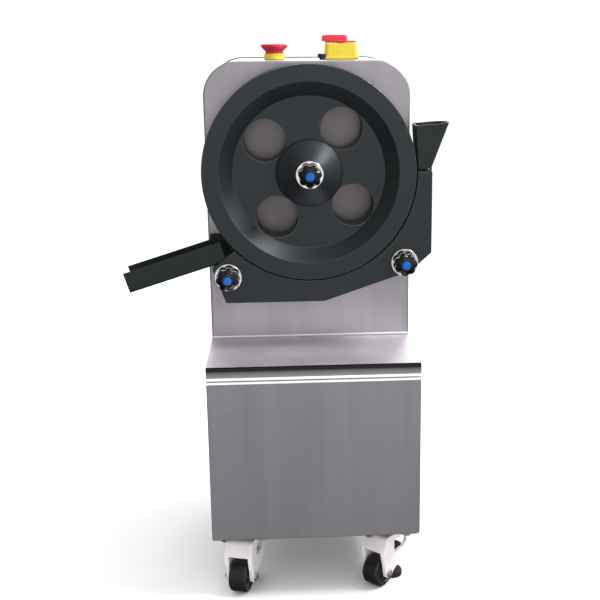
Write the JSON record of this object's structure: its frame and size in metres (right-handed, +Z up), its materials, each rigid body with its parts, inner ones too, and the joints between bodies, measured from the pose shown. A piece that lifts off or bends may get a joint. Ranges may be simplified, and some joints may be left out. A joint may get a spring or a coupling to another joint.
{
  "type": "tablet press",
  "caption": "Small floor-standing tablet machine: black rotor wheel in a clamped concave, side hopper, outlet chute, stainless tower and cabinet on levelling casters.",
  "frame": {"origin": "on the floor, below the middle of the machine's box", "axes": "+X to the machine's right as seen from the front, +Y to its back, +Z up"},
  "size_m": [0.509, 0.425, 0.8695],
  "materials": {
    "stainless": "satin brushed",
    "black_drum": "fine turned, satin",
    "black_sheet": "fine texture black coat",
    "gloss_black": "glossy moulded",
    "blue_cap": "glossy moulded",
    "polished_steel": "polished",
    "machined_steel": "turned",
    "zinc_steel": "zinc plated",
    "red_plastic": "moulded",
    "yellow_plastic": "moulded",
    "navy_plastic": "moulded",
    "black_plastic": "moulded",
    "black_rubber": "matt",
    "caster_white": "powder coat",
    "wheel_black": "moulded nylon",
    "cast_grey": "painted casting",
    "motor_blue": "painted casting",
    "plate_alu": "milled",
    "box_grey": "powder coat"
  },
  "bodies": {
    "stand": {"base_cabinet": "stainless", "ledge_cover": "stainless", "front_panel": "stainless", "base_rear_cover": "stainless", "tower_shell": "stainless", "tower_rear_cover": "stainless", "rear_gasket": "black_rubber", "screws": "zinc_steel", "drive_plate": "plate_alu", "spindle_housing": "cast_grey", "spindle_bearings": "polished_steel", "timing_belt": "black_rubber", "gearbox": "cast_grey", "motor": "motor_blue", "control_box": "box_grey", "concave_cheeks": "black_drum", "concave_channel": "black_drum", "concave_fixings": "polished_steel", "hopper": "black_sheet", "chute": "black_sheet", "chute_bracket": "black_sheet", "estop_base": "yellow_plastic", "isolator_base": "yellow_plastic", "power_gland": "black_plastic", "caster_plates": "zinc_steel"},
    "rotor": {"rotor_drum": "black_drum", "rotor_hub": "black_drum", "rotor_washer": "polished_steel", "main_shaft": "machined_steel", "driven_pulley": "plate_alu"},
    "hub_knob": {"rotor_knob": "gloss_black", "rotor_knob_cap": "blue_cap"},
    "concave_knob_left": {"left_knob": "gloss_black", "left_knob_cap": "blue_cap"},
    "concave_knob_right": {"right_knob": "gloss_black", "right_knob_cap": "blue_cap"},
    "motor_pulley": {"drive_pulley": "plate_alu"},
    "estop": {"estop_button": "red_plastic"},
    "isolator": {"isolator_handle": "red_plastic"},
    "reset": {"reset_button": "navy_plastic"},
    "caster_fl": {"caster_fork_fl": "caster_white", "caster_axle_fl": "zinc_steel"},
    "wheel_fl": {"caster_wheel_fl": "wheel_black"},
    "foot_fl": {"leveling_foot_fl": "black_rubber"},
    "thumb_fl": {"thumbwheel_fl": "black_plastic"},
    "caster_fr": {"caster_fork_fr": "caster_white", "caster_axle_fr": "zinc_steel"},
    "wheel_fr": {"caster_wheel_fr": "wheel_black"},
    "foot_fr": {"leveling_foot_fr": "black_rubber"},
    "thumb_fr": {"thumbwheel_fr": "black_plastic"},
    "caster_rl": {"caster_fork_rl": "caster_white", "caster_axle_rl": "zinc_steel"},
    "wheel_rl": {"caster_wheel_rl": "wheel_black"},
    "foot_rl": {"leveling_foot_rl": "black_rubber"},
    "thumb_rl": {"thumbwheel_rl": "black_plastic"},
    "caster_rr": {"caster_fork_rr": "caster_white", "caster_axle_rr": "zinc_steel"},
    "wheel_rr": {"caster_wheel_rr": "wheel_black"},
    "foot_rr": {"leveling_foot_rr": "black_rubber"},
    "thumb_rr": {"thumbwheel_rr": "black_plastic"}
  },
  "joints": [
    {"name": "rotor_spin", "type": "hinge", "parent": "stand", "child": "rotor", "pos_m": [0.0373, -0.0915, 0.6627], "axis": [0, -1, 0], "continuous": true},
    {"name": "motor_pulley_spin", "type": "hinge", "parent": "stand", "child": "motor_pulley", "pos_m": [0.0373, 0.0795, 0.19], "axis": [0, -1, 0], "continuous": true},
    {"name": "hub_knob_turn", "type": "hinge", "parent": "rotor", "child": "hub_knob", "pos_m": [0.0373, -0.1415, 0.6627], "axis": [0, -1, 0], "continuous": true},
    {"name": "left_knob_turn", "type": "hinge", "parent": "stand", "child": "concave_knob_left", "pos_m": [-0.092, -0.1315, 0.5035], "axis": [0, -1, 0], "continuous": true},
    {"name": "right_knob_turn", "type": "hinge", "parent": "stand", "child": "concave_knob_right", "pos_m": [0.1843, -0.1315, 0.5222], "axis": [0, -1, 0], "continuous": true},
    {"name": "estop_press", "type": "slide", "parent": "stand", "child": "estop", "axis": [0, 0, -1], "range_m": [0, 0.004], "stiffness_N_per_m": 1500},
    {"name": "isolator_turn", "type": "hinge", "parent": "stand", "child": "isolator", "pos_m": [0.0969, 0.0635, 0.8305], "axis": [0, 0, 1], "range_deg": [0, 90]},
    {"name": "reset_press", "type": "slide", "parent": "stand", "child": "reset", "axis": [0, 0, -1], "range_m": [0, 0.002], "stiffness_N_per_m": 800},
    {"name": "swivel_fl", "type": "hinge", "parent": "stand", "child": "caster_fl", "pos_m": [-0.0777, -0.1595, 0.095], "axis": [0, 0, 1], "continuous": true},
    {"name": "roll_fl", "type": "hinge", "parent": "caster_fl", "child": "wheel_fl", "pos_m": [-0.08376, -0.18065, 0.026], "axis": [0.9613, -0.2756, 0], "continuous": true},
    {"name": "foot_lift_fl", "type": "slide", "parent": "caster_fl", "child": "foot_fl", "axis": [0, 0, 1], "range_m": [-0.008, 0.006]},
    {"name": "thumbwheel_turn_fl", "type": "hinge", "parent": "caster_fl", "child": "thumb_fl", "pos_m": [-0.07274, -0.1422, 0.05], "axis": [0, 0, 1], "range_deg": [-1440, 1080]},
    {"name": "swivel_fr", "type": "hinge", "parent": "stand", "child": "caster_fr", "pos_m": [0.1523, -0.1595, 0.095], "axis": [0, 0, 1], "continuous": true},
    {"name": "roll_fr", "type": "hinge", "parent": "caster_fr", "child": "wheel_fr", "pos_m": [0.1373, -0.17559, 0.026], "axis": [0.7314, -0.682, 0], "continuous": true},
    {"name": "foot_lift_fr", "type": "slide", "parent": "caster_fr", "child": "foot_fr", "axis": [0, 0, 1], "range_m": [-0.008, 0.006]},
    {"name": "thumbwheel_turn_fr", "type": "hinge", "parent": "caster_fr", "child": "thumb_fr", "pos_m": [0.16458, -0.14634, 0.05], "axis": [0, 0, 1], "range_deg": [-1440, 1080]},
    {"name": "swivel_rl", "type": "hinge", "parent": "stand", "child": "caster_rl", "pos_m": [-0.0777, 0.1385, 0.095], "axis": [0, 0, 1], "continuous": true},
    {"name": "roll_rl", "type": "hinge", "parent": "caster_rl", "child": "wheel_rl", "pos_m": [-0.0667, 0.15755, 0.026], "axis": [-0.866, 0.5, 0], "continuous": true},
    {"name": "foot_lift_rl", "type": "slide", "parent": "caster_rl", "child": "foot_rl", "axis": [0, 0, 1], "range_m": [-0.008, 0.006]},
    {"name": "thumbwheel_turn_rl", "type": "hinge", "parent": "caster_rl", "child": "thumb_rl", "pos_m": [-0.0867, 0.12291, 0.05], "axis": [0, 0, 1], "range_deg": [-1440, 1080]},
    {"name": "swivel_rr", "type": "hinge", "parent": "stand", "child": "caster_rr", "pos_m": [0.1523, 0.1385, 0.095], "axis": [0, 0, 1], "continuous": true},
    {"name": "roll_rr", "type": "hinge", "parent": "caster_rr", "child": "wheel_rr", "pos_m": [0.14661, 0.15975, 0.026], "axis": [-0.9659, -0.2588, 0], "continuous": true},
    {"name": "foot_lift_rr", "type": "slide", "parent": "caster_rr", "child": "foot_rr", "axis": [0, 0, 1], "range_m": [-0.008, 0.006]},
    {"name": "thumbwheel_turn_rr", "type": "hinge", "parent": "caster_rr", "child": "thumb_rr", "pos_m": [0.15696, 0.12111, 0.05], "axis": [0, 0, 1], "range_deg": [-1440, 1080]}
  ],
  "couplings": [
    {"joint": "motor_pulley_spin", "follows": "rotor_spin", "ratio": 1.5},
    {"joint": "foot_lift_fl", "follows": "thumbwheel_turn_fl", "m_per_rad": 0.00031831},
    {"joint": "foot_lift_fr", "follows": "thumbwheel_turn_fr", "m_per_rad": 0.00031831},
    {"joint": "foot_lift_rl", "follows": "thumbwheel_turn_rl", "m_per_rad": 0.00031831},
    {"joint": "foot_lift_rr", "follows": "thumbwheel_turn_rr", "m_per_rad": 0.00031831}
  ]
}
